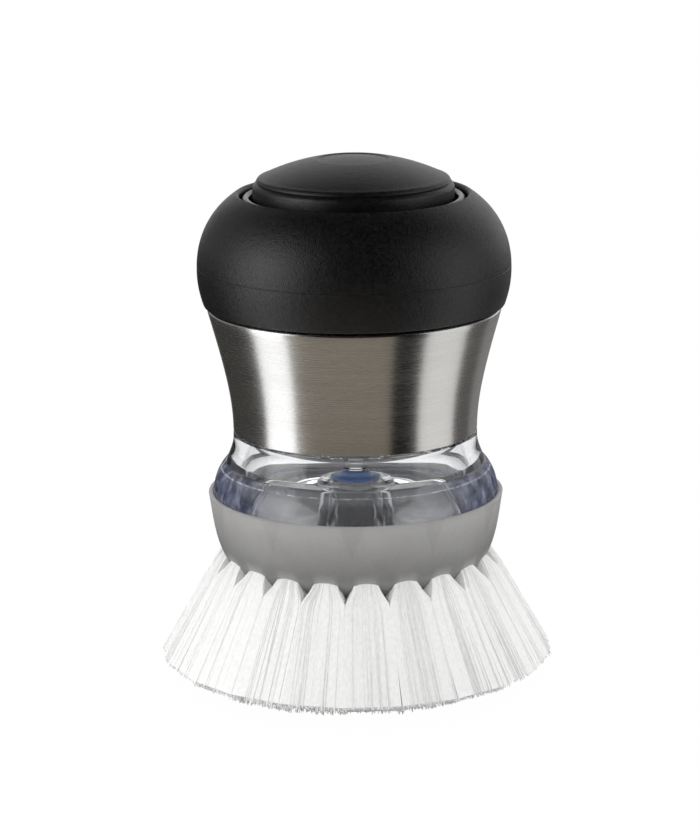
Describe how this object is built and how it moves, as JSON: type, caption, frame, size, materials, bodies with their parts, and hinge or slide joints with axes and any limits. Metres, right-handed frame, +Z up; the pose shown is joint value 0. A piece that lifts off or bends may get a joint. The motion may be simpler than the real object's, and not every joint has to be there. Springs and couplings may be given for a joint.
{
  "type": "soap-dispensing palm brush",
  "caption": "Round palm brush with a soap vessel under a soft black knob, a steel waist, a spring push-button that pumps soap, and a twist-off head of flared nylon bristles.",
  "frame": {"origin": "on the brush's axis, in the plane of the bristle ends that it stands on", "axes": "+Z up along the brush's axis, from the bristles to the push-button; -Y faces the viewer of the picture"},
  "size_m": [0.0784, 0.0784, 0.1042],
  "materials": {
    "clear_plastic": "clear, polished",
    "brushed_steel": "satin, brushed round the axis",
    "black_plastic": "moulded, satin",
    "gloss_black": "polished",
    "soft_black": "soft-touch, matte",
    "blue_silicone": "moulded silicone",
    "clear_silicone": "natural silicone",
    "white_plastic": "moulded",
    "spring_steel": "bright drawn wire",
    "grey_plastic": "translucent, satin",
    "white_bristle": "nylon filament"
  },
  "bodies": {
    "vessel": {"reservoir_body": "clear_plastic", "reservoir_base": "clear_plastic", "steel_sleeve": "brushed_steel", "sleeve_collar": "black_plastic", "outlet_valve": "blue_silicone", "valve_retainer": "white_plastic"},
    "knob_seal": {"knob_gasket": "clear_silicone"},
    "knob": {"knob_grip": "soft_black", "knob_shell": "black_plastic", "pump_deck": "black_plastic", "well_ring": "gloss_black", "rod_seal": "clear_silicone", "seal_cap": "white_plastic", "return_spring": "spring_steel"},
    "button": {"button_skin": "soft_black", "button_core": "black_plastic", "plunger_rod": "clear_plastic", "piston_cup": "blue_silicone", "rod_clip": "spring_steel"},
    "head_ring": {"head_seal": "clear_silicone"},
    "head": {"brush_head": "grey_plastic", "bristle_segment_1": "white_bristle", "bristle_segment_2": "white_bristle", "bristle_segment_3": "white_bristle"}
  },
  "joints": [
    {"name": "knob_lift", "type": "slide", "parent": "vessel", "child": "knob_seal", "axis": [0, 0, 1], "range_m": [0, 0.0076]},
    {"name": "knob_turn", "type": "hinge", "parent": "knob_seal", "child": "knob", "pos_m": [0, 0, 0.0835], "axis": [0, 0, 1], "range_deg": [0, 450]},
    {"name": "button_press", "type": "slide", "parent": "knob", "child": "button", "axis": [0, 0, -1], "range_m": [0, 0.005], "stiffness_N_per_m": 400, "springref_m": -0.004, "deforming": ["return_spring"]},
    {"name": "head_drop", "type": "slide", "parent": "vessel", "child": "head_ring", "axis": [0, 0, -1], "range_m": [0, 0.0038]},
    {"name": "head_turn", "type": "hinge", "parent": "head_ring", "child": "head", "pos_m": [0, 0, 0.0378], "axis": [0, 0, 1], "range_deg": [0, 75]}
  ],
  "couplings": [
    {"joint": "knob_lift", "follows": "knob_turn", "m_per_rad": 0.00095493},
    {"joint": "head_drop", "follows": "head_turn", "m_per_rad": 0.0028648}
  ]
}
